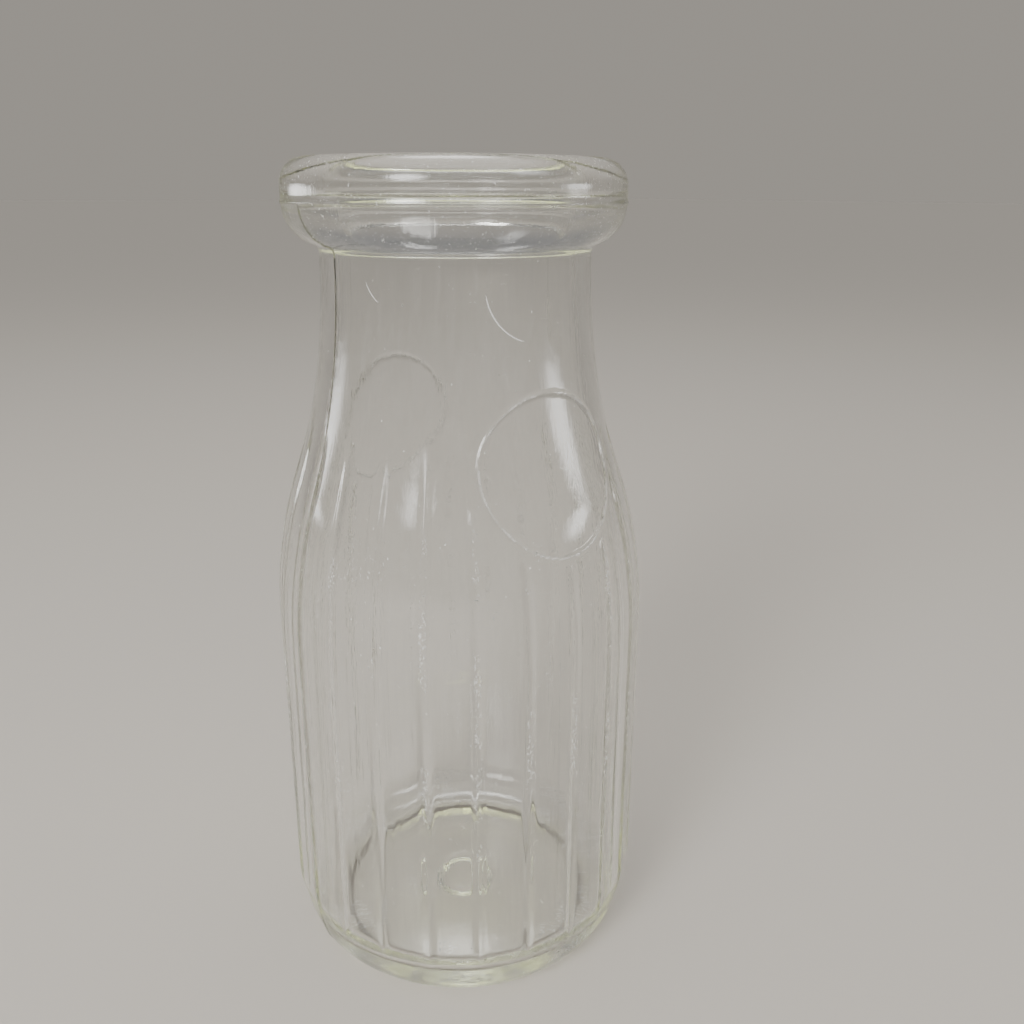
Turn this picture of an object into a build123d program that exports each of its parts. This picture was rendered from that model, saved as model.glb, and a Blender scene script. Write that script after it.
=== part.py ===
from build123d import *
import os
from math import atan, cos, hypot, radians, sin, sqrt

# A round half-pint milk bottle, pressed and blown in one piece of clear glass. It stands on +Z with
# its origin at the centre of the ring that it rests on. The two round plates face -Y and +Y, and
# the mould's two side seams lie on -X and +X. All sizes are in millimetres.

# Overall sizes
total_height = 137.5
body_diameter = 63.5
side_height = 61.3            # from the table to the foot of the shoulder

# Mouth: the paper disc sets the seat, and the throat, neck and lip follow from it
cap_diameter = 41.3           # a 1 5/8 inch pressed paper disc
cap_clearance = 0.15          # all round the disc
cap_seat_drop = 5.5           # from the crest down to the ledge
ledge_width = 1.75            # what the disc rests on
ledge_round = 0.8

# Lip
parting_drop = 6.6            # from the crest down to the lip's parting line
parting_width = 0.8
parting_height = 0.12
lip_outer_round = 4.0
lip_inner_round = 2.4
lip_under_round = 6.6         # the round that tucks the lip in to the neck
lip_neck_fillet = 1.2
neck_straight = 1.0           # plain length of neck under the lip

# Shoulder: two arcs that meet in a tangent, the upper one hollow and the lower one full
hollow_share = 0.58           # how much of the sweep belongs to the upper arc

# Heel and base
heel_lead_radius = 30.0       # the slow curve that brings the side in
heel_lead_angle = 20.0
heel_toe_radius = 6.5         # the tight curve that runs under to the table
bearing_width = 1.5           # flat ring that stands on the table
push_up = 1.8                 # height of the dome under the base
base_ring_radius = 5.0        # plain raised ring in the middle of the underside
base_ring_width = 0.9
base_ring_height = 0.35

# Glass thickness
wall = 3.0                    # side of the body
neck_wall = 2.75
lip_wall = 6.4                # beside the cap seat
floor_thickness = 4.2         # at the middle of the base
floor_dome = 0.8              # rise of the floor from its edge to its middle
floor_corner_radius = 6.0

# Moulded relief
rib_count = 24
rib_round = 2.2               # radius of a rib's back
rib_height = 0.3
rib_foot_angle = 12.0         # how far a rib follows the heel's slow curve
rib_sink_radius = 10.0        # the arc on which a rib sinks in at its foot
rib_sink_angle = 35.0
rib_run_out = 12.0            # straight length on which a rib sinks in at its head
plate_diameter = 25.0         # round blank plates on the shoulder
plate_line_width = 0.6
plate_line_height = 0.25
plate_margin = 0.8            # bare glass between a plate's line and the ribs
seam_width = 0.5
seam_height = 0.12

# Values that follow from the sizes above
body_radius = body_diameter / 2
seat_radius = cap_diameter / 2 + cap_clearance
throat_radius = seat_radius - ledge_width
neck_radius = throat_radius + neck_wall
lip_radius = seat_radius + lip_wall
seat_z = total_height - cap_seat_drop
parting_z = total_height - parting_drop
inner_radius = body_radius - wall
outer_round = min(lip_outer_round, 0.6 * lip_wall)
inner_round = min(lip_inner_round, lip_wall - outer_round)
lead_in = heel_lead_radius * (1 - cos(radians(heel_lead_angle)))
lead_rise = heel_lead_radius * sin(radians(heel_lead_angle))
toe_in = heel_toe_radius * cos(radians(heel_lead_angle))
toe_rise = heel_toe_radius * (1 - sin(radians(heel_lead_angle)))
heel_height = toe_rise + lead_rise
lead_centre = (body_radius - heel_lead_radius, heel_height)
bearing_radius = body_radius - lead_in - toe_in
dome_radius = bearing_radius - bearing_width

# The lip's underside is an arc that ends in a fillet against the neck
under_centre = (lip_radius - lip_under_round, parting_z)
fillet_reach = lip_under_round + lip_neck_fillet
fillet_x = neck_radius + lip_neck_fillet
fillet_drop = sqrt(fillet_reach**2 - (under_centre[0] - fillet_x) ** 2)
fillet_centre = (fillet_x, parting_z - fillet_drop)
neck_end_z = fillet_centre[1] - neck_straight
plate_z = (side_height + neck_end_z) / 2


class Sweep:
    """Two tangent arcs that join a vertical line at the top to a wider one lower down."""

    def __init__(self, top_radius, bottom_radius, top_z, bottom_z):
        self.top = (top_radius, top_z)
        self.bottom = (bottom_radius, bottom_z)
        self.angle = 2 * atan((bottom_radius - top_radius) / (top_z - bottom_z))
        reach = (top_z - bottom_z) / sin(self.angle)
        self.hollow = hollow_share * reach
        self.full = reach - self.hollow
        self.meet = self.on_full(self.angle)

    def on_hollow(self, angle):
        """Point on the upper arc, turned down from the neck by an angle in radians."""
        centre_x = self.top[0] + self.hollow
        return (centre_x - self.hollow * cos(angle), self.top[1] - self.hollow * sin(angle))

    def on_full(self, angle, inset=0.0):
        """Point on the lower arc, turned up from the side by an angle in radians."""
        radius = self.full - inset
        centre_x = self.bottom[0] - self.full
        return (centre_x + radius * cos(angle), self.bottom[1] + radius * sin(angle))


def on_arc(centre, radius, angle):
    """Point on an arc, at an angle in degrees from +X."""
    return (centre[0] + radius * cos(radians(angle)), centre[1] + radius * sin(radians(angle)))


def line(start, end):
    return Line(start, end).edge()


def arc(start, middle, end):
    return ThreePointArc(start, middle, end).edge()


def arc_about(centre, start, end):
    """The shorter arc from start to end about a centre."""
    radius = hypot(start[0] - centre[0], start[1] - centre[1])
    across = ((start[0] + end[0]) / 2 - centre[0], (start[1] + end[1]) / 2 - centre[1])
    reach = hypot(across[0], across[1])
    middle = (centre[0] + radius * across[0] / reach, centre[1] + radius * across[1] / reach)
    return arc(start, middle, end)


def turned(outline):
    """Solid of revolution about Z from edges given as (radius, height) points."""
    section = make_face(Wire(outline))
    return revolve(Plane.XZ * section, Axis.Z, 360)


def side_edges(grow=0.0):
    """The outside from the table up to the parting line, moved outward by grow."""
    sweep = Sweep(neck_radius, body_radius, neck_end_z, side_height)

    def out(point):
        return (point[0] + grow, point[1])

    toe_centre = (bearing_radius, heel_toe_radius)
    toe_end = on_arc(toe_centre, heel_toe_radius, -heel_lead_angle)
    side_start = (body_radius, heel_height)
    share = lip_neck_fillet / fillet_reach
    touch = (fillet_centre[0] + share * (under_centre[0] - fillet_centre[0]),
             fillet_centre[1] + share * fillet_drop)
    fillet_tip = (neck_radius, fillet_centre[1])
    under_end = (lip_radius, parting_z)
    return [
        arc_about(out(toe_centre), out((bearing_radius, 0)), out(toe_end)),
        arc_about(out(lead_centre), out(toe_end), out(side_start)),
        line(out(side_start), out(sweep.bottom)),
        arc(out(sweep.bottom), out(sweep.on_full(sweep.angle / 2)), out(sweep.meet)),
        arc(out(sweep.meet), out(sweep.on_hollow(sweep.angle / 2)), out(sweep.top)),
        line(out(sweep.top), out(fillet_tip)),
        arc_about(out(fillet_centre), out(fillet_tip), out(touch)),
        arc_about(out(under_centre), out(touch), out(under_end)),
    ]


def side_solid(grow=0.0):
    """Everything inside the outer side, up to the parting line."""
    closing = [
        line((lip_radius + grow, parting_z), (0, parting_z)),
        line((0, parting_z), (0, 0)),
        line((0, 0), (bearing_radius + grow, 0)),
    ]
    return turned(side_edges(grow) + closing)


def lip_blank():
    """The lip above the parting line, still solid across the mouth."""
    corner_centre = (lip_radius - outer_round, total_height - outer_round)
    crest = (lip_radius - outer_round, total_height)
    outline = [
        line((0, parting_z), (lip_radius, parting_z)),
        line((lip_radius, parting_z), (lip_radius, corner_centre[1])),
        arc((lip_radius, corner_centre[1]), on_arc(corner_centre, outer_round, 45), crest),
        line(crest, (0, total_height)),
        line((0, total_height), (0, parting_z)),
    ]
    return turned(outline)


def parting_ridge():
    """Fine line round the lip where the neck ring met the body mould."""
    half = parting_width / 2
    root = lip_radius - parting_width
    top = (lip_radius, parting_z + half)
    bottom = (lip_radius - parting_height, parting_z - half)
    outline = [
        line((root, bottom[1]), bottom),
        arc(bottom, (lip_radius + parting_height, parting_z), top),
        line(top, (root, top[1])),
        line((root, top[1]), (root, bottom[1])),
    ]
    return turned(outline)


def cavity():
    """The space inside: mouth, cap seat, throat, shoulder, side and domed floor."""
    sweep = Sweep(throat_radius, inner_radius, neck_end_z, side_height)
    floor_middle_z = push_up + floor_thickness
    floor_edge_z = floor_middle_z - floor_dome
    floor_edge = (inner_radius - floor_corner_radius, floor_edge_z)
    corner_centre = (floor_edge[0], floor_edge_z + floor_corner_radius)
    corner_top = (inner_radius, corner_centre[1])
    half_dome = (floor_edge[0] / 2, floor_edge_z + 0.75 * floor_dome)
    ledge_centre = (throat_radius + ledge_round, seat_z - ledge_round)
    mouth_centre = (seat_radius + inner_round, total_height - inner_round)
    mouth_edge = (mouth_centre[0], total_height)
    above = total_height + parting_drop
    outline = [
        arc((0, floor_middle_z), half_dome, floor_edge),
        arc(floor_edge, on_arc(corner_centre, floor_corner_radius, -45), corner_top),
        line(corner_top, sweep.bottom),
        arc(sweep.bottom, sweep.on_full(sweep.angle / 2), sweep.meet),
        arc(sweep.meet, sweep.on_hollow(sweep.angle / 2), sweep.top),
        line(sweep.top, (throat_radius, ledge_centre[1])),
        arc((throat_radius, ledge_centre[1]), on_arc(ledge_centre, ledge_round, 135),
            (ledge_centre[0], seat_z)),
        line((ledge_centre[0], seat_z), (seat_radius, seat_z)),
        line((seat_radius, seat_z), (seat_radius, mouth_centre[1])),
        arc((seat_radius, mouth_centre[1]), on_arc(mouth_centre, inner_round, 135), mouth_edge),
        line(mouth_edge, (mouth_edge[0], above)),
        line((mouth_edge[0], above), (0, above)),
        line((0, above), (0, floor_middle_z)),
    ]
    return turned(outline)


def base_hollow():
    """Shallow dome under the base, with a plain ring left standing in its middle."""
    half_way = dome_radius / 2
    dome_curve = (dome_radius**2 + push_up**2) / (2 * push_up)
    half_drop = dome_curve - sqrt(dome_curve**2 - half_way**2)
    outline = [
        arc((dome_radius, 0), (half_way, push_up - half_drop), (0, push_up)),
        line((0, push_up), (0, 0)),
        line((0, 0), (dome_radius, 0)),
    ]
    dome = turned(outline)
    lowered = Pos(0, 0, -base_ring_height) * dome
    ring_outer = Cylinder(base_ring_radius + base_ring_width / 2, 3 * push_up)
    ring_inner = Cylinder(base_ring_radius - base_ring_width / 2, 4 * push_up)
    ring = (dome - lowered) & (ring_outer - ring_inner)
    return dome - ring


def rib_path():
    """Middle line of a rib: it follows the outer side and turns in to the wall at both ends."""
    sweep = Sweep(neck_radius, body_radius, neck_end_z, side_height)
    depth = rib_round - rib_height
    lead_reach = heel_lead_radius - depth
    side_start = (body_radius - depth, heel_height)
    foot = on_arc(lead_centre, lead_reach, -rib_foot_angle)
    sink_centre = on_arc(lead_centre, lead_reach - rib_sink_radius, -rib_foot_angle)
    sink_end = on_arc(sink_centre, rib_sink_radius, -rib_foot_angle - rib_sink_angle)
    shoulder = (body_radius - depth, side_height)
    meet = sweep.on_full(sweep.angle, depth)
    head = (meet[0] - rib_run_out * sin(sweep.angle), meet[1] + rib_run_out * cos(sweep.angle))
    edges = [
        arc_about(sink_centre, sink_end, foot),
        arc_about(lead_centre, foot, side_start),
        line(side_start, shoulder),
        arc(shoulder, sweep.on_full(sweep.angle / 2, depth), meet),
        line(meet, head),
    ]
    return Plane.XZ * Wire(edges)


def rib_bar():
    """One upright rib as a round bar that is mostly sunk in the wall."""
    path = rib_path()
    start = Plane(origin=path @ 0, z_dir=path % 0)
    return sweep(start * Circle(rib_round), path=path)


def plate_post(diameter):
    """A bar along Y that cuts a plate's outline on both sides of the bottle."""
    bar = Rot(90, 0, 0) * Cylinder(diameter / 2, 3 * body_diameter)
    return Pos(0, 0, plate_z) * bar


def ribs():
    """All ribs, cleared away from the plates."""
    clear = plate_post(plate_diameter + 2 * plate_margin)
    bar = rib_bar()
    bars = []
    for index in range(rib_count):
        turned_bar = Rot(0, 0, index * 360 / rib_count) * bar
        bars.append(turned_bar - clear)
    return bars


def plate_lines():
    """The fine raised line round each plate."""
    outer = plate_post(plate_diameter)
    inner = plate_post(plate_diameter - 2 * plate_line_width)
    return (outer - inner) & side_solid(plate_line_height)


def seams():
    """The two side seams, from the table to the parting line."""
    blade = Box(3 * body_diameter, seam_width, 2 * total_height)
    return blade & side_solid(seam_height)


def glass_bottle():
    blank = side_solid() + lip_blank()
    blank = blank + parting_ridge()
    blank = blank + plate_lines()
    blank = blank + seams()
    blank = blank + ribs()
    return blank - cavity() - base_hollow()


os.makedirs("parts", exist_ok=True)
bottle = glass_bottle()
bottle.label = "glass_bottle"
export_step(bottle, "parts/glass_bottle.step")
print("glass_bottle", len(bottle.solids()), "solid", round(bottle.volume / 1000, 1), "cm3 of glass")
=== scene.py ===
import math
import bpy
import numpy as np
from mathutils import Matrix, Quaternion, Vector


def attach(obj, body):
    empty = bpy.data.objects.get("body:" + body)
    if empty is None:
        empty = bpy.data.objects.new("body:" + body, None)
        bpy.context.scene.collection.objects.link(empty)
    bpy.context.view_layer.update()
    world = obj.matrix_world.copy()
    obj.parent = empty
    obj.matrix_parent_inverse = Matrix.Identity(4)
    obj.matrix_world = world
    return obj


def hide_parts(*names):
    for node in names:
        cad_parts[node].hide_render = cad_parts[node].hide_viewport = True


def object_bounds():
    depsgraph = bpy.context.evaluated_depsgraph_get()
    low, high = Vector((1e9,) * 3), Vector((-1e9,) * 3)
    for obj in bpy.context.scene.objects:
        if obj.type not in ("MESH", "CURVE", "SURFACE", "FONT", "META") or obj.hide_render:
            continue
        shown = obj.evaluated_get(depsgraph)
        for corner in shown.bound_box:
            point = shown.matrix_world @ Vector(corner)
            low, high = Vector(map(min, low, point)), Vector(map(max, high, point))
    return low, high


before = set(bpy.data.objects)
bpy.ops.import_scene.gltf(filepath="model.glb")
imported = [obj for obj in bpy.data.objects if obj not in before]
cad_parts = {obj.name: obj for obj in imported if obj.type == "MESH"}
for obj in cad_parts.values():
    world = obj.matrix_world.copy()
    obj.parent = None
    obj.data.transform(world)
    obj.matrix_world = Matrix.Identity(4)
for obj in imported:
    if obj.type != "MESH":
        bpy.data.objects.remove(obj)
cadLow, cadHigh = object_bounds()
mm = 0.001
totalHeight = cadHigh.z / mm
print("frame loaded, bottle is", round(totalHeight - cadLow.z / mm, 1), "mm tall")


# lays out and joins up the nodes of one tree
class Bench:
    def __init__(self, tree):
        self.tree = tree

    def add(self, kind, inputs=None, **settings):
        node = self.tree.nodes.new(kind)
        for key, value in settings.items():
            setattr(node, key, value)
        for key, value in (inputs or {}).items():
            self.feed(node.inputs[key], value)
        return node

    def feed(self, socket, value):
        if isinstance(value, bpy.types.NodeSocket):
            self.tree.links.new(value, socket)
        else:
            socket.default_value = value

    def calc(self, operation, *values):
        node = self.add("ShaderNodeMath", dict(enumerate(values)), operation=operation)
        return node.outputs[0]

    # 0 at low, 1 at high, smooth between; low may be above high
    def ease(self, value, low, high, toLow=0.0, toHigh=1.0):
        ends = {
            "Value": value, "From Min": low, "From Max": high, "To Min": toLow, "To Max": toHigh,
        }
        node = self.add("ShaderNodeMapRange", ends, interpolation_type="SMOOTHSTEP")
        return node.outputs[0]

    # rounded bump, 1 where distance is 0, down to 0 at halfWidth
    def ridge(self, distance, halfWidth):
        return self.ease(self.calc("ABSOLUTE", distance), halfWidth, 0.0)

    def chain(self, operation, values):
        total = values[0]
        for value in values[1:]:
            total = self.calc(operation, total, value)
        return total

    def times(self, *values):
        return self.chain("MULTIPLY", values)

    def plus(self, *values):
        return self.chain("ADD", values)

    def most(self, *values):
        return self.chain("MAXIMUM", values)

    # length of a flat vector
    def reach(self, across, along):
        return self.calc("SQRT", self.plus(self.times(across, across), self.times(along, along)))

    # angle round the bottle's axis, 0 at the middle of the front plate
    def turnRound(self, x, y):
        return self.calc("ARCTAN2", x, self.times(y, -1.0))


def geometryTree(name, sockets):
    tree = bpy.data.node_groups.new(name, "GeometryNodeTree")
    face = tree.interface
    face.new_socket("Geometry", in_out="INPUT", socket_type="NodeSocketGeometry")
    for label, kind in sockets.items():
        face.new_socket(label, in_out="INPUT", socket_type="NodeSocket" + kind)
    face.new_socket("Geometry", in_out="OUTPUT", socket_type="NodeSocketGeometry")
    bench = Bench(tree)
    source = bench.add("NodeGroupInput")
    return tree, bench, source.outputs


def endTree(bench, geometry, material):
    real = bench.add("GeometryNodeRealizeInstances", {"Geometry": geometry})
    dressed = bench.add(
        "GeometryNodeSetMaterial", {"Geometry": real.outputs[0], "Material": material}
    )
    bench.add("NodeGroupOutput", {"Geometry": dressed.outputs[0]})


# runs a tree on a mesh and gives back a plain object with the result
def runTree(name, mesh, tree, values):
    holder = bpy.data.objects.new(name, mesh)
    bpy.context.scene.collection.objects.link(holder)
    modifier = holder.modifiers.new(name, "NODES")
    modifier.node_group = tree
    for item in tree.interface.items_tree:
        if item.in_out == "INPUT" and item.name in values:
            modifier[item.identifier] = values[item.name]
    graph = bpy.context.evaluated_depsgraph_get()
    result = bpy.data.meshes.new_from_object(holder.evaluated_get(graph))
    holder.modifiers.clear()
    holder.data = result
    result.name = name
    return holder


def newMaterial(name):
    material = bpy.data.materials.new(name)
    material.use_nodes = True
    material.node_tree.nodes.clear()
    return material, Bench(material.node_tree)


def link(thing):
    bpy.context.scene.collection.objects.link(thing)
    return thing


# which way something lies from the bottle: azimuth 0 faces the front plate
def direction(azimuth, elevation=0.0):
    turn = math.radians(azimuth)
    rise = math.radians(elevation)
    flat = math.cos(rise)
    return Vector((math.sin(turn) * flat, -math.cos(turn) * flat, math.sin(rise)))


viewpoint = {
    "azimuth": -34.2,      # degrees round from the middle of the front plate
    "distance": 161.8,     # mm from the bottle's axis
    "height": 132.8,       # mm above the table, level with the lip
    "tilt": 18.38,         # degrees down
    "turn": 3.25,          # degrees to the right of the bottle
    "roll": 0.23,
    "lens": 34.1,
    "nearest": 0.01,       # metres, the range of depth that is shown
    "farthest": 50,
}


def makeCamera():
    back = direction(viewpoint["azimuth"])
    tilt = math.radians(viewpoint["tilt"])
    ahead = Matrix.Rotation(-math.radians(viewpoint["turn"]), 3, "Z") @ -back
    aim = ahead * math.cos(tilt) - Vector((0, 0, math.sin(tilt)))
    data = bpy.data.cameras.new("camera")
    data.lens = viewpoint["lens"]
    data.clip_start = viewpoint["nearest"]
    data.clip_end = viewpoint["farthest"]
    camera = link(bpy.data.objects.new("camera", data))
    camera.rotation_mode = "QUATERNION"
    camera.location = back * viewpoint["distance"] * mm
    camera.location.z += viewpoint["height"] * mm
    roll = Quaternion((0, 0, 1), math.radians(viewpoint["roll"]))
    camera.rotation_quaternion = aim.to_track_quat("-Z", "Y") @ roll
    bpy.context.scene.camera = camera


makeCamera()
print("camera set")


# sizes of the turned shape, in mm and degrees
bottle = {
    "sideHeight": 61.3,
    "hollowShare": 0.58,       # part of the shoulder's sweep that curves inward
    "capDiameter": 41.3,
    "capClearance": 0.15,
    "seatDrop": 5.5,
    "seatCorner": 0.35,
    "ledgeWidth": 1.75,
    "ledgeRound": 0.8,
    "lipWall": 6.4,
    "neckWall": 2.75,
    "bodyWall": 3.0,
    "partingDrop": 6.6,
    "partingWidth": 0.8,
    "partingHeight": 0.12,
    "outerRound": 4.0,
    "innerRound": 2.4,
    "underRound": 6.6,
    "neckFillet": 1.2,
    "neckStraight": 1.0,
    "leadRadius": 30.0,
    "leadAngle": 20.0,
    "toeRadius": 6.5,
    "bearingWidth": 1.5,
    "pushUp": 1.8,
    "baseRingRadius": 5.0,
    "baseRingWidth": 0.9,
    "baseRingHeight": 0.35,
    "floorThickness": 4.2,
    "floorDome": 0.8,
    "floorCorner": 6.0,
}

# what the mould leaves on the wall, in mm; pairs are the heights that a fade runs between
relief = {
    "ribCount": 24,
    "ribHeight": 0.3,
    "ribWidth": 2.4,
    "ribFoot": (8.0, 13.5),
    "ribHead": (88.0, 99.0),
    "plateRadius": 12.5,
    "plateLineWidth": 0.75,
    "plateLineHeight": 0.25,
    "plateMargin": 0.8,
    "plateFade": 1.5,
    "seamWidth": 0.5,
    "seamHeight": 0.16,
    "seamFoot": (1.5, 4.0),
    "outerWaves": 0.05,
    "innerWaves": 0.22,
    "seed": 4.0,
}

# slow waves in the two faces of the wall
waves = {
    "stretch": (1.0, 1.0, 0.35),
    "outerScale": 70.0,
    "outerDetail": 1.0,
    "innerScale": 32.0,
    "innerDetail": 1.5,
    "innerSeedStep": 9.0,
}

# how fine the mesh is
grid = {
    "seamTurn": 0.2,           # degrees between columns on the side seams
    "plateTurn": 0.46,
    "ribTurn": 0.66,
    "plainTurn": 2.1,
    "lipTurn": 1.2,
    "insideTurn": 2.0,
    "ribSpread": 1.15,         # how far the fine columns reach past a rib, and past a plate
    "plateSpread": 1.12,
    "plateBorder": 1.0,        # mm of fine rows above and below a plate
    "plateRise": 0.34,         # mm between rows level with the plates
    "plainRise": 1.9,
    "insideRise": 2.66,
    "underInner": (1.5, 3.2),  # radii of the underside's rows, within and around the base ring
    "underOuter": (7.0, 10.0, 13.0, 16.0, 19.0, 21.5),
}

# rows along each run of the turned shape
rowCounts = {
    "baseRing": 6, "toe": 9, "lead": 8, "side": 14, "fillet": 6, "underLip": 13, "lipSide": 3,
    "lipTop": 11, "mouth": 8, "bore": 3, "seat": 4, "ledge": 5, "throat": 5, "floorCorner": 10,
    "floor": 7,
}

bodyRadius = cadHigh.x / mm - relief["ribHeight"]


def arcRows(centre, radius, start, end, steps):
    angles = np.radians(np.linspace(start, end, steps + 1)[1:])
    return [(centre[0] + radius * math.cos(a), centre[1] + radius * math.sin(a)) for a in angles]


def lineRows(start, end, steps):
    shares = np.linspace(0, 1, steps + 1)[1:]
    run, rise = end[0] - start[0], end[1] - start[1]
    return [(start[0] + run * share, start[1] + rise * share) for share in shares]


# radius of the shoulder's double curve at a height, between a neck above and a side below
def shoulderCurve(topRadius, bottomRadius, topZ, bottomZ, share):
    angle = 2 * math.atan((bottomRadius - topRadius) / (topZ - bottomZ))
    reach = (topZ - bottomZ) / math.sin(angle)
    hollow = share * reach
    full = reach - hollow
    meetZ = bottomZ + full * math.sin(angle)

    def radiusAt(z):
        if z < meetZ:
            return bottomRadius - full + math.sqrt(full ** 2 - (z - bottomZ) ** 2)
        return topRadius + hollow - math.sqrt(hollow ** 2 - (topZ - z) ** 2)

    return radiusAt


# rows of radius, height and kind of ring, from the underside's middle round to the inner floor's
def turnedRows(shape):
    seatRadius = shape["capDiameter"] / 2 + shape["capClearance"]
    throatRadius = seatRadius - shape["ledgeWidth"]
    neckRadius = throatRadius + shape["neckWall"]
    lipRadius = seatRadius + shape["lipWall"]
    innerRadius = bodyRadius - shape["bodyWall"]
    seatZ = totalHeight - shape["seatDrop"]
    partingZ = totalHeight - shape["partingDrop"]
    lead = math.radians(shape["leadAngle"])
    toeRadius, leadRadius = shape["toeRadius"], shape["leadRadius"]
    heelHeight = toeRadius * (1 - math.sin(lead)) + leadRadius * math.sin(lead)
    bearing = bodyRadius - leadRadius * (1 - math.cos(lead)) - toeRadius * math.cos(lead)
    domeRadius = bearing - shape["bearingWidth"]
    domeCurve = (domeRadius ** 2 + shape["pushUp"] ** 2) / (2 * shape["pushUp"])
    underX = lipRadius - shape["underRound"]
    filletX = neckRadius + shape["neckFillet"]
    reach = shape["underRound"] + shape["neckFillet"]
    drop = math.sqrt(reach ** 2 - (underX - filletX) ** 2)
    filletZ = partingZ - drop
    neckEnd = filletZ - shape["neckStraight"]
    tuck = math.degrees(math.atan2(drop, underX - filletX))
    sideZ = shape["sideHeight"]
    plateZ = (sideZ + neckEnd) / 2
    half = shape["partingWidth"] / 2
    floorMiddle = shape["pushUp"] + shape["floorThickness"]
    cornerZ = floorMiddle - shape["floorDome"] + shape["floorCorner"]
    floorRadius = innerRadius - shape["floorCorner"]
    rows = []

    def grow(kind, points):
        rows.extend((radius, z, kind) for radius, z in points)

    # push-up, with the base ring standing down from it
    def underside(radius):
        away = 2 * abs(radius - shape["baseRingRadius"]) / shape["baseRingWidth"]
        ring = max(0.0, 1 - away ** 2)
        dome = shape["pushUp"] - domeCurve + math.sqrt(domeCurve ** 2 - radius ** 2)
        return max(0.0, dome - shape["baseRingHeight"] * ring)

    ringShares = np.linspace(-0.5, 0.5, rowCounts["baseRing"] + 1)
    ringRows = ringShares * shape["baseRingWidth"] + shape["baseRingRadius"]
    underRows = [*grid["underInner"], *ringRows, *grid["underOuter"], domeRadius]
    grow("plain", [(radius, underside(radius)) for radius in underRows])
    grow("plain", [(bearing, 0.0)])
    # heel, side and shoulder
    toeCentre = (bearing, toeRadius)
    leadCentre = (bodyRadius - leadRadius, heelHeight)
    heelTop, sideTop = (bodyRadius, heelHeight), (bodyRadius, sideZ)
    grow("outside", arcRows(toeCentre, toeRadius, -90, -shape["leadAngle"], rowCounts["toe"]))
    grow("outside", arcRows(leadCentre, leadRadius, -shape["leadAngle"], 0, rowCounts["lead"]))
    grow("outside", lineRows(heelTop, sideTop, rowCounts["side"]))
    outerCurve = shoulderCurve(neckRadius, bodyRadius, neckEnd, sideZ, shape["hollowShare"])
    plateReach = relief["plateRadius"] + grid["plateBorder"]
    for low, high, rise in (
        (sideZ, plateZ - plateReach, grid["plainRise"]),
        (plateZ - plateReach, plateZ + plateReach, grid["plateRise"]),
        (plateZ + plateReach, neckEnd, grid["plainRise"]),
    ):
        heights = np.linspace(low, high, round((high - low) / rise) + 1)[1:]
        grow("outside", [(outerCurve(z), z) for z in heights])
    # neck, and the lip's underside
    grow("outside", [(neckRadius, filletZ)])
    filletCentre = (filletX, filletZ)
    grow("outside", arcRows(filletCentre, shape["neckFillet"], 180, tuck, rowCounts["fillet"]))
    lowAngle = math.degrees(-half / shape["underRound"])
    underCentre = (underX, partingZ)
    underTurn = (tuck - 180, lowAngle)
    grow("outside", arcRows(underCentre, shape["underRound"], *underTurn, rowCounts["underLip"]))
    # parting line, then the lip's side, top and mouth
    for share in (-0.5, 0.0, 0.5, 1.0):
        bulge = shape["partingHeight"] * (1 - share * share)
        grow("lip", [(lipRadius + bulge, partingZ + half * share)])
    outerRound, innerRound = shape["outerRound"], shape["innerRound"]
    roundZ = totalHeight - outerRound
    topCentre = (lipRadius - outerRound, roundZ)
    mouthCentre = (seatRadius + innerRound, totalHeight - innerRound)
    grow("lip", lineRows((lipRadius, partingZ + half), (lipRadius, roundZ), rowCounts["lipSide"]))
    grow("lip", arcRows(topCentre, outerRound, 0, 90, rowCounts["lipTop"]))
    grow("lip", arcRows(mouthCentre, innerRound, 90, 180, rowCounts["mouth"]))
    # cap seat and throat
    corner, ledge = shape["seatCorner"], shape["ledgeRound"]
    boreTop, boreFoot = (seatRadius, mouthCentre[1]), (seatRadius, seatZ + corner)
    seatCentre = (seatRadius - corner, seatZ + corner)
    ledgeCentre = (throatRadius + ledge, seatZ - ledge)
    grow("lip", lineRows(boreTop, boreFoot, rowCounts["bore"]))
    grow("lip", arcRows(seatCentre, corner, 0, -90, rowCounts["seat"]))
    grow("lip", [(ledgeCentre[0], seatZ)])
    grow("lip", arcRows(ledgeCentre, ledge, 90, 180, rowCounts["ledge"]))
    throatTop, throatFoot = (throatRadius, ledgeCentre[1]), (throatRadius, neckEnd)
    grow("inside", lineRows(throatTop, throatFoot, rowCounts["throat"]))
    # inner shoulder, side and floor
    innerCurve = shoulderCurve(throatRadius, innerRadius, neckEnd, sideZ, shape["hollowShare"])
    steps = round((neckEnd - sideZ) / grid["insideRise"])
    heights = np.linspace(neckEnd, sideZ, steps + 1)[1:]
    grow("inside", [(innerCurve(z), z) for z in heights])
    innerTop, innerFoot = (innerRadius, sideZ), (innerRadius, cornerZ)
    grow("inside", lineRows(innerTop, innerFoot, rowCounts["side"]))
    cornerCentre = (floorRadius, cornerZ)
    cornerRound = shape["floorCorner"]
    grow("inside", arcRows(cornerCentre, cornerRound, 0, -90, rowCounts["floorCorner"]))
    for radius in np.linspace(floorRadius, 0, rowCounts["floor"] + 1)[1:-1]:
        dome = shape["floorDome"] * (radius / floorRadius) ** 2
        grow("plain", [(radius, floorMiddle - dome)])
    return rows, (shape["pushUp"], floorMiddle), plateZ


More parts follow.
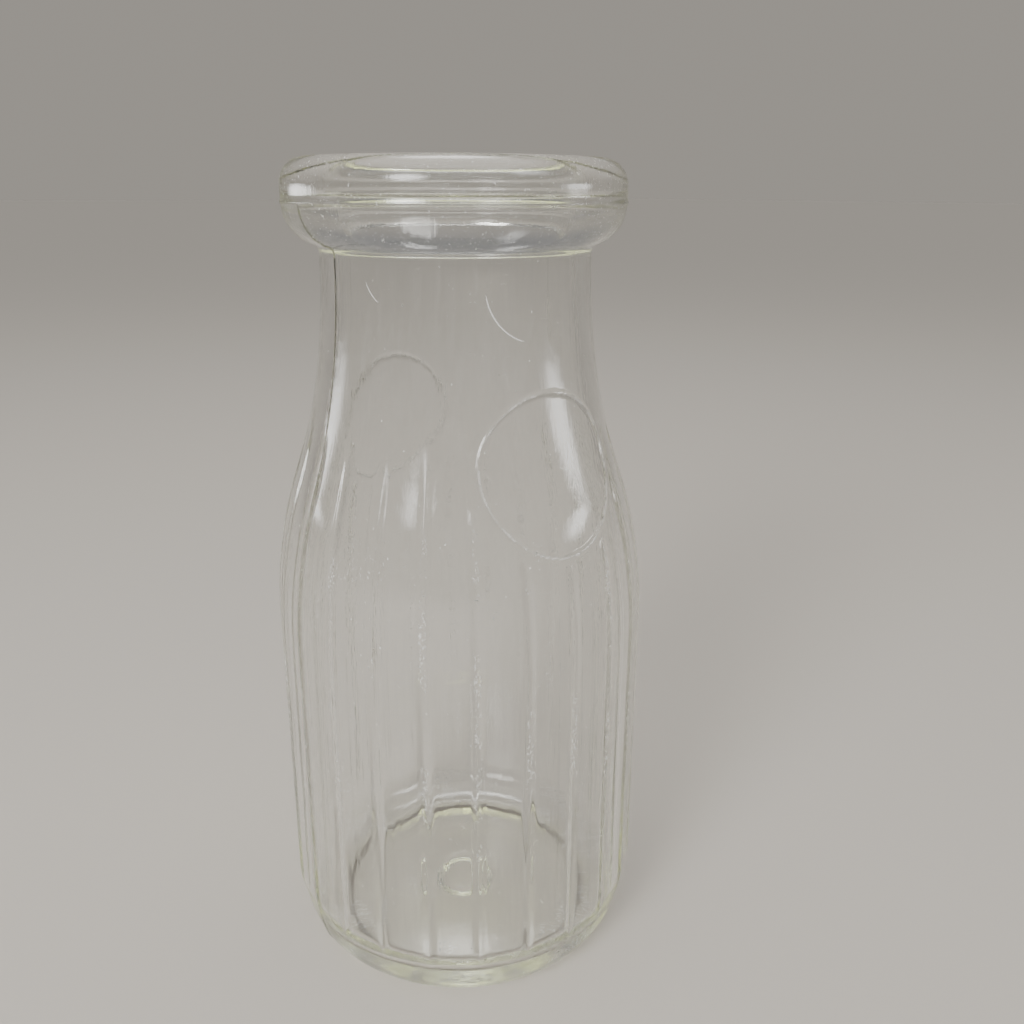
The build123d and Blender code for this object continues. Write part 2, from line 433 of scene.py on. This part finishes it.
# columns are close together on the ribs, seams and plates, and further apart between
def mouldTurns():
    spacing = 360 / relief["ribCount"]
    plateSide = (relief["plateRadius"] + grid["plateBorder"]) / bodyRadius
    ribReach = math.degrees(relief["ribWidth"] / 2 / bodyRadius) * grid["ribSpread"]
    plateReach = math.degrees(math.asin(plateSide)) * grid["plateSpread"]
    seamReach = math.degrees(relief["seamWidth"] / bodyRadius)
    turns = []
    turn = 0.0
    while turn < 360 - grid["seamTurn"] / 2:
        turns.append(turn)
        toSeam = abs(turn % 180 - 90)
        toPlate = abs((turn + 90) % 180 - 90)
        toRib = abs((turn + spacing / 2) % spacing - spacing / 2)
        step = grid["plainTurn"]
        for reach, near, fine in (
            (ribReach, toRib, grid["ribTurn"]),
            (plateReach, toPlate, grid["plateTurn"]),
            (seamReach, toSeam, grid["seamTurn"]),
        ):
            if near < reach + step:
                step = min(step, max(fine, near - reach))
        turn += step
    return np.radians(turns)


def evenTurns(step):
    return np.radians(np.arange(0, 360, step))


# faces between two rings of points, which may have different numbers of them
def stitch(low, lowTurns, high, highTurns):
    lowCount, highCount = len(lowTurns), len(highTurns)
    if lowCount == highCount:
        pairs = [(k, (k + 1) % lowCount) for k in range(lowCount)]
        return [(low + k, low + after, high + after, high + k) for k, after in pairs]
    faces = []
    lowEnds = [*lowTurns[1:], math.tau]
    highEnds = [*highTurns[1:], math.tau]
    i = j = 0
    while i < lowCount or j < highCount:
        if j == highCount or (i < lowCount and lowEnds[i] <= highEnds[j]):
            faces.append((low + i, low + (i + 1) % lowCount, high + j % highCount))
            i += 1
        else:
            faces.append((low + i % lowCount, high + (j + 1) % highCount, high + j))
            j += 1
    return faces


def bottleBlank():
    rows, poles, plateZ = turnedRows(bottle)
    turns = {
        "plain": evenTurns(grid["insideTurn"]),
        "outside": mouldTurns(),
        "lip": evenTurns(grid["lipTurn"]),
        "inside": evenTurns(grid["insideTurn"]),
    }
    points = []
    starts = []
    marks = {"outside": [], "inside": []}
    for radius, height, kind in rows:
        starts.append(len(points))
        for turn in turns[kind]:
            x, y = radius * math.sin(turn) * mm, -radius * math.cos(turn) * mm
            points.append((x, y, height * mm))
        for label in marks:
            marks[label] += [float(kind == label)] * len(turns[kind])
    faces = []
    rings = [(start, turns[kind]) for start, (radius, height, kind) in zip(starts, rows)]
    for lower, upper in zip(rings, rings[1:]):
        faces += stitch(*lower, *upper)
    # close the underside and the inner floor
    for (start, ringTurns), poleZ, facesUp in (
        (rings[0], poles[0], False), (rings[-1], poles[1], True),
    ):
        pole = len(points)
        points.append((0, 0, poleZ * mm))
        for label in marks:
            marks[label].append(0.0)
        count = len(ringTurns)
        for j in range(count):
            here, after = start + j, start + (j + 1) % count
            faces.append((here, after, pole) if facesUp else (after, here, pole))
    blank = bpy.data.meshes.new("bottleBlank")
    blank.from_pydata(points, [], faces)
    for label, values in marks.items():
        blank.attributes.new(label, "FLOAT", "POINT").data.foreach_set("value", values)
    blank.shade_smooth()
    return blank, plateZ


# the tree's inputs: what isn't a length, then the lengths in metres
def reliefValues(plateZ):
    values = {"plateZ": plateZ * mm}
    for key, size in relief.items():
        if key in ("ribCount", "seed"):
            values[key] = size
        elif isinstance(size, tuple):
            values[key + "Low"], values[key + "High"] = (height * mm for height in size)
        else:
            values[key] = size * mm
    return values


# moulded relief, laid on the turned shape
def reliefTree(names):
    sockets = {name: "Int" if name == "ribCount" else "Float" for name in names}
    tree, bench, value = geometryTree("mouldRelief", {**sockets, "material": "Material"})
    place = bench.add("GeometryNodeInputPosition").outputs[0]
    normal = bench.add("GeometryNodeInputNormal").outputs[0]
    x, y, z = bench.add("ShaderNodeSeparateXYZ", {0: place}).outputs
    outside, inside = [
        bench.add("GeometryNodeInputNamedAttribute", {"Name": name}, data_type="FLOAT").outputs[0]
        for name in ("outside", "inside")
    ]
    # ribs: distance along the wall to the nearest one
    phase = bench.calc("DIVIDE", bench.times(bench.turnRound(x, y), value["ribCount"]), math.tau)
    nearest = bench.calc("SUBTRACT", phase, bench.calc("ROUND", phase))
    pitch = bench.calc("DIVIDE", math.tau, value["ribCount"])
    ribShape = bench.ridge(
        bench.times(nearest, pitch, bench.reach(x, y)), bench.times(value["ribWidth"], 0.5)
    )
    foot = bench.ease(z, value["ribFootLow"], value["ribFootHigh"])
    head = bench.ease(z, value["ribHeadHigh"], value["ribHeadLow"])
    # plates: a circle on the upright plane through the axis, the same front and back
    toPlate = bench.reach(x, bench.calc("SUBTRACT", z, value["plateZ"]))
    clearEdge = bench.plus(value["plateRadius"], value["plateMargin"])
    clear = bench.ease(toPlate, clearEdge, bench.plus(clearEdge, value["plateFade"]))
    halfLine = bench.times(value["plateLineWidth"], 0.5)
    lineMiddle = bench.calc("SUBTRACT", value["plateRadius"], halfLine)
    plateLine = bench.ridge(bench.calc("SUBTRACT", toPlate, lineMiddle), halfLine)
    # side seams, fading out above the foot
    seam = bench.ridge(y, bench.times(value["seamWidth"], 0.5))
    seam = bench.times(seam, bench.ease(z, value["seamFootLow"], value["seamFootHigh"]))
    ribs = bench.times(ribShape, foot, head, clear)
    upright = bench.most(
        bench.times(ribs, value["ribHeight"]), bench.times(seam, value["seamHeight"])
    )
    raised = bench.plus(upright, bench.times(plateLine, value["plateLineHeight"]))
    raised = bench.times(raised, outside)
    # the outer waves only sink, so the bottle stays in its box
    stretched = bench.add(
        "ShaderNodeVectorMath", {0: place, 1: waves["stretch"]}, operation="MULTIPLY"
    ).outputs[0]

    def wave(side, seed):
        look = {"Scale": waves[side + "Scale"], "Detail": waves[side + "Detail"]}
        look.update({"Vector": stretched, "W": seed})
        return bench.add("ShaderNodeTexNoise", look, noise_dimensions="4D").outputs[0]

    sunk = bench.times(wave("outer", value["seed"]), value["outerWaves"], outside, -1.0)
    slow = wave("inner", bench.plus(value["seed"], waves["innerSeedStep"]))
    swing = bench.calc("SUBTRACT", slow, 0.5)
    rolled = bench.times(swing, value["innerWaves"], inside, 2.0)
    offset = bench.add(
        "ShaderNodeVectorMath", {0: normal, "Scale": bench.plus(raised, sunk, rolled)},
        operation="SCALE",
    )
    marked = bench.add(
        "GeometryNodeSetPosition", {"Geometry": value["Geometry"], "Offset": offset.outputs[0]}
    ).outputs[0]
    # where hands and crates rub, the ribs' backs and the plates' lines; the plates' lines are
    # also whitened as a painted highlight, for the light they catch
    for label, share in (("rubbed", ribs), ("lined", plateLine)):
        stored = {"Geometry": marked, "Name": label, "Value": bench.times(share, outside)}
        marked = bench.add(
            "GeometryNodeStoreNamedAttribute", stored, data_type="FLOAT", domain="POINT"
        ).outputs[0]
    endTree(bench, marked, value["material"])
    return tree


def makeBottle(material):
    blank, plateZ = bottleBlank()
    values = reliefValues(plateZ)
    piece = runTree("bottleGlass", blank, reliefTree(values), {**values, "material": material})
    triangles = sum(len(face.vertices) - 2 for face in piece.data.polygons)
    print("bottle turned and moulded,", triangles, "triangles")
    return piece


# pairs are heights or radii in mm that a fade runs between
glass = {
    "tint": (0.988, 0.988, 0.978),
    "ior": 1.517,
    "depthColour": (0.885, 0.89, 0.83),  # thick glass turns a pale straw
    "depthDensity": 22.0,
    "haze": (0.0, 0.05),                 # roughness of clean and of smudged glass
    "streakDepth": 0.03,                 # mm, the fine upright lines left by the mould
    "rippleShare": 0.6,
    "film": 0.04,                        # share of light that the dull film sends back
    # whitening of the plates' raised lines: partly wear, partly a painted highlight standing in
    # for the light the lines catch
    "lineWearAndHighlight": 0.42,
    "lineEdge": (0.2, 0.9),
    "lipWear": 0.13,                     # fine level rubs, where caps and mouths touched
    "lipFoot": (122.5, 125.0),
    "lipInner": (22.0, 23.5),
    "residue": 0.8,
    "residueFloor": (4.5, 5.0),
    "residueTop": (10.0, 6.5),
    "residueInner": (19.0, 22.0),
    "scuffColour": (0.93, 0.93, 0.91),
    "scuffStrength": 0.9,
    "scuffRoughness": 0.55,
    "scuffTop": (90.0, 74.0),            # above these the wall is never rubbed
    "scuffFoot": (22.0, 44.0),
    "ribEdge": (0.3, 0.8),
}

# noise patterns: how fine, how stretched, and the values between which each one shows
patterns = {
    "streaks": {"scale": 820.0, "detail": 3.0, "roughness": 0.6, "stretch": (1.0, 1.0, 0.02)},
    "ripple": {"scale": 190.0, "detail": 2.0},
    "ribPatches": {"scale": 85.0, "detail": 3.0, "shows": (0.44, 0.58)},
    "ribSpecks": {
        "scale": 3600.0, "detail": 3.0, "roughness": 0.7, "stretch": (1.0, 1.0, 0.45),
        "shows": (0.54, 0.60),
    },
    "ribRuns": {
        "scale": 640.0, "detail": 2.0, "roughness": 0.6, "stretch": (1.0, 1.0, 0.3),
        "shows": (0.40, 0.56),
    },
    "clusters": {"scale": 70.0, "detail": 2.5, "shows": (0.60, 0.70)},
    "clusterSpecks": {
        "scale": 3000.0, "detail": 3.0, "roughness": 0.7, "stretch": (1.0, 1.0, 0.6),
        "shows": (0.62, 0.67),
    },
    "nicks": {"scale": 1500.0, "detail": 2.0, "roughness": 0.6, "shows": (0.745, 0.765)},
    "crumbs": {"scale": 2600.0, "detail": 3.0, "roughness": 0.7, "shows": (0.55, 0.60)},
    "crumbPatches": {"scale": 110.0, "detail": 2.0, "shows": (0.50, 0.60)},
    "lipRings": {
        "scale": 2600.0, "detail": 3.0, "roughness": 0.7, "stretch": (0.06, 0.06, 1.0),
        "shows": (0.44, 0.70),
    },
    "lipPatches": {"scale": 150.0, "detail": 2.0, "shows": (0.36, 0.60)},
    "lipSpecks": {"scale": 2300.0, "detail": 3.0, "roughness": 0.7, "shows": (0.64, 0.68)},
    "filmLines": {
        "scale": 900.0, "detail": 3.0, "roughness": 0.7, "stretch": (1.0, 1.0, 0.05),
        "shows": (0.42, 0.72),
    },
    "linePatches": {"scale": 420.0, "detail": 3.0, "shows": (0.35, 0.6)},
    "smudges": {"scale": 75.0, "detail": 6.0, "roughness": 0.6},
}
smudgesShow = (0.48, 0.75)

# fine curved scratches in the neck, each part of a circle on the unrolled wall, in mm
scratches = {
    "long": {
        "along": -0.8, "up": 119.6, "radius": 8.2, "from": 111.7, "to": 119.0, "width": 0.17,
    },
    "short": {
        "along": -21.5, "up": 122.3, "radius": 6.2, "from": 117.2, "to": 120.6, "width": 0.12,
    },
}
unrolledRadius = 22.0
scratchStart = 0.3             # mm over which a scratch begins, and over which it dies out
scratchEnd = 1.5


def scratchLine(bench, axes, scratch):
    size = {key: value * mm for key, value in scratch.items()}
    x, y, z = axes
    wall = bench.times(bench.turnRound(x, y), unrolledRadius * mm)
    across = bench.calc("SUBTRACT", wall, size["along"])
    reach = bench.reach(across, bench.calc("SUBTRACT", z, size["up"]))
    line = bench.ridge(bench.calc("SUBTRACT", reach, size["radius"]), size["width"])
    start = bench.ease(z, size["from"], size["from"] + scratchStart * mm)
    end = bench.ease(z, size["to"], size["to"] - scratchEnd * mm)
    return bench.times(line, start, end, bench.calc("LESS_THAN", across, 0.0))


def clearGlass():
    material, bench = newMaterial("clearGlass")
    place = bench.add("ShaderNodeTexCoord").outputs["Object"]
    axes = bench.add("ShaderNodeSeparateXYZ", {0: place}).outputs
    x, y, z = axes
    outward = bench.reach(x, y)
    outside, rubbed, lined = [
        bench.add("ShaderNodeAttribute", attribute_name=name).outputs["Fac"]
        for name in ("outside", "rubbed", "lined")
    ]

    def pattern(name):
        look = patterns[name]
        stretch = {"Vector": place, "Scale": look.get("stretch", (1.0, 1.0, 1.0))}
        spread = bench.add("ShaderNodeMapping", stretch).outputs[0]
        noise = bench.add("ShaderNodeTexNoise", {
            "Vector": spread, "Scale": look["scale"], "Detail": look["detail"],
            "Roughness": look.get("roughness", 0.5),
        }).outputs[0]
        return bench.ease(noise, *look["shows"]) if "shows" in look else noise

    def between(value, band):
        return bench.ease(value, *(edge * mm for edge in glass[band]))

    # scuffs: specks gathered in patches, most of them on the ribs
    belly = bench.times(between(z, "scuffTop"), between(z, "scuffFoot"))
    onRibs = bench.times(
        bench.ease(rubbed, *glass["ribEdge"]),
        pattern("ribPatches"), pattern("ribSpecks"), pattern("ribRuns"),
    )
    elsewhere = bench.times(pattern("clusters"), pattern("clusterSpecks"), outside)
    scuffs = bench.times(bench.most(onRibs, elsewhere), belly)
    # dried specks left in the corner round the inside of the base
    corner = bench.times(
        between(z, "residueFloor"), between(z, "residueTop"), between(outward, "residueInner")
    )
    residue = bench.times(corner, pattern("crumbs"), pattern("crumbPatches"), glass["residue"])
    # level rubs and specks round the lip
    onLip = bench.times(between(z, "lipFoot"), between(outward, "lipInner"))
    rubs = bench.times(pattern("lipRings"), pattern("lipPatches"), onLip)
    lipSpecks = bench.times(pattern("lipSpecks"), onLip)
    marks = bench.most(scuffs, pattern("nicks"), residue, lipSpecks)
    for scratch in scratches.values():
        marks = bench.most(marks, bench.times(scratchLine(bench, axes, scratch), outside))
    # a thin uneven film over the outside, and the plates' rougher raised lines, dulled white
    # partly as wear and partly as a painted highlight where the lines catch light
    film = bench.times(pattern("filmLines"), glass["film"], outside)
    lineWearAndHighlight = bench.times(
        bench.ease(lined, *glass["lineEdge"]), pattern("linePatches"), glass["lineWearAndHighlight"]
    )
    wornAndLineHighlight = bench.most(film, lineWearAndHighlight, bench.times(rubs, glass["lipWear"]))
    dull = bench.most(bench.times(marks, glass["scuffStrength"]), wornAndLineHighlight)
    haze = bench.ease(pattern("smudges"), *smudgesShow, *glass["haze"])
    roughness = bench.most(haze, bench.times(marks, glass["scuffRoughness"]))
    colour = bench.add(
        "ShaderNodeMix",
        {0: dull, 6: (*glass["tint"], 1.0), 7: (*glass["scuffColour"], 1.0)},
        data_type="RGBA",
    )
    surface = bench.plus(pattern("streaks"), bench.times(pattern("ripple"), glass["rippleShare"]))
    bump = bench.add("ShaderNodeBump", {
        "Strength": 1.0, "Distance": glass["streakDepth"] * mm, "Height": surface,
    })
    shader = bench.add("ShaderNodeBsdfPrincipled", {
        "Base Color": colour.outputs[2],
        "Transmission Weight": bench.calc("SUBTRACT", 1.0, dull),
        "IOR": glass["ior"],
        "Roughness": roughness,
        "Normal": bump.outputs[0],
    })
    depth = bench.add("ShaderNodeVolumeAbsorption", {
        "Color": (*glass["depthColour"], 1.0),
        "Density": glass["depthDensity"],
    })
    bench.add(
        "ShaderNodeOutputMaterial", {"Surface": shader.outputs[0], "Volume": depth.outputs[0]}
    )
    return material


glassPiece = makeBottle(clearGlass())
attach(glassPiece, "root")
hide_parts("glass_bottle")
print("glass dressed")


stage = {
    "floorSize": 12.0,         # metres from the middle to a side
    "floorColour": (0.62, 0.575, 0.51),
    "floorRoughness": 0.7,
    "grainScale": 900.0,
    "grainStrength": 0.15,
    "grainDepth": 0.04,        # mm
    "horizon": (0.339, 0.3165, 0.2835),
    "upperDark": (0.21, 0.21, 0.215),
    "ceiling": (1.45, 1.45, 1.43),
    "darkens": (10.0, 30.0),   # degrees up between which the backdrop darkens
    "ceilingStarts": (52.0, 68.0),
    "bounces": 32,             # light crosses many walls of glass before it leaves the bottle
}

# azimuth and elevation in degrees, distance and size in metres, power in watts
softboxes = {
    "keyFront": {
        "azimuth": -66, "elevation": 27, "distance": 0.8, "size": (0.46, 0.42), "power": 6.0,
    },
    "fillRight": {
        "azimuth": 20, "elevation": 42, "distance": 0.9, "size": (0.5, 0.35), "power": 1.8,
    },
    "overhead": {
        "azimuth": 150, "elevation": 66, "distance": 0.8, "size": (0.45, 0.4), "power": 1.8,
    },
}
passesGlass = ("fillRight", "overhead")    # these reach the floor under the bottle unshaded

# windows are low and wide, and light only the glass, so they show as reflections alone
windows = {
    "windowLeft": {
        "azimuth": -150, "elevation": 1.1, "distance": 3.0, "size": (2.3, 0.32), "power": 10.0,
    },
    "windowRight": {
        "azimuth": 49, "elevation": 5.4, "distance": 1.2, "size": (0.7, 0.16), "power": 1.7,
    },
}
diffuser = {"edge": 0.5, "core": 0.12, "glow": 1.8}   # share of a lamp's width, and its strength


def makeFloor():
    side = stage["floorSize"]
    corners = [(-side, -side, 0), (side, -side, 0), (side, side, 0), (-side, side, 0)]
    mesh = bpy.data.meshes.new("floor")
    mesh.from_pydata(corners, [], [(0, 1, 2, 3)])
    floor = link(bpy.data.objects.new("floor", mesh))
    material, bench = newMaterial("palePaper")
    place = bench.add("ShaderNodeTexCoord").outputs["Object"]
    grain = bench.add(
        "ShaderNodeTexNoise", {"Vector": place, "Scale": stage["grainScale"], "Detail": 2.0}
    )
    bump = bench.add("ShaderNodeBump", {
        "Strength": stage["grainStrength"], "Distance": stage["grainDepth"] * mm,
        "Height": grain.outputs[0],
    })
    shader = bench.add("ShaderNodeBsdfPrincipled", {
        "Base Color": (*stage["floorColour"], 1.0), "Roughness": stage["floorRoughness"],
        "Normal": bump.outputs[0],
    })
    bench.add("ShaderNodeOutputMaterial", {"Surface": shader.outputs[0]})
    mesh.materials.append(material)
    return floor


# a grey backdrop that darkens upward, under a bright ceiling
def makeBackdrop():
    world = bpy.data.worlds.new("studio")
    bpy.context.scene.world = world
    world.use_nodes = True
    world.node_tree.nodes.clear()
    bench = Bench(world.node_tree)
    place = bench.add("ShaderNodeTexCoord").outputs["Generated"]
    up = bench.add("ShaderNodeSeparateXYZ", {0: place}).outputs[2]
    shade = (*stage["horizon"], 1.0)
    for band, colour in (("darkens", "upperDark"), ("ceilingStarts", "ceiling")):
        rise = [math.sin(math.radians(angle)) for angle in stage[band]]
        mix = {0: bench.ease(up, *rise), 6: shade, 7: (*stage[colour], 1.0)}
        shade = bench.add("ShaderNodeMix", mix, data_type="RGBA").outputs[2]
    glow = bench.add("ShaderNodeBackground", {"Color": shade, "Strength": 1.0})
    bench.add("ShaderNodeOutputWorld", {"Surface": glow.outputs[0]})


# brightest in the middle, fading out towards the edge as a diffuser does
def makeSoftbox(name, box):
    data = bpy.data.lights.new(name, "AREA")
    data.shape = "ELLIPSE"
    data.size, data.size_y = box["size"]
    data.energy = box["power"]
    data.use_nodes = True
    data.node_tree.nodes.clear()
    bench = Bench(data.node_tree)
    spot = bench.add("ShaderNodeNewGeometry").outputs["Parametric"]
    away = bench.add("ShaderNodeVectorMath", {0: spot, 1: (0.5, 0.5, 0.0)}, operation="DISTANCE")
    ends = (diffuser["edge"], diffuser["core"], 0.0, diffuser["glow"])
    emission = bench.add(
        "ShaderNodeEmission", {"Strength": bench.ease(away.outputs["Value"], *ends)}
    )
    bench.add("ShaderNodeOutputLight", {0: emission.outputs[0]})
    toward = direction(box["azimuth"], box["elevation"])
    light = link(bpy.data.objects.new(name, data))
    light.visible_camera = False
    light.location = toward * box["distance"] + Vector((0, 0, totalHeight * mm / 2))
    light.rotation_mode = "QUATERNION"
    light.rotation_quaternion = (-toward).to_track_quat("-Z", "Y")
    return light


def group(name, thing):
    collection = bpy.data.collections.new(name)
    collection.objects.link(thing)
    return collection


floorOnly = group("floorOnly", makeFloor())
glassOnly = group("glassOnly", glassPiece)
makeBackdrop()
print("floor and backdrop laid")
for name, box in softboxes.items():
    light = makeSoftbox(name, box)
    if name in passesGlass:
        light.light_linking.blocker_collection = floorOnly
for name, box in windows.items():
    light = makeSoftbox(name, box)
    light.visible_transmission = False
    light.light_linking.receiver_collection = glassOnly
for kind in ("max_bounces", "transmission_bounces", "glossy_bounces"):
    setattr(bpy.context.scene.cycles, kind, stage["bounces"])
print("stage lit")
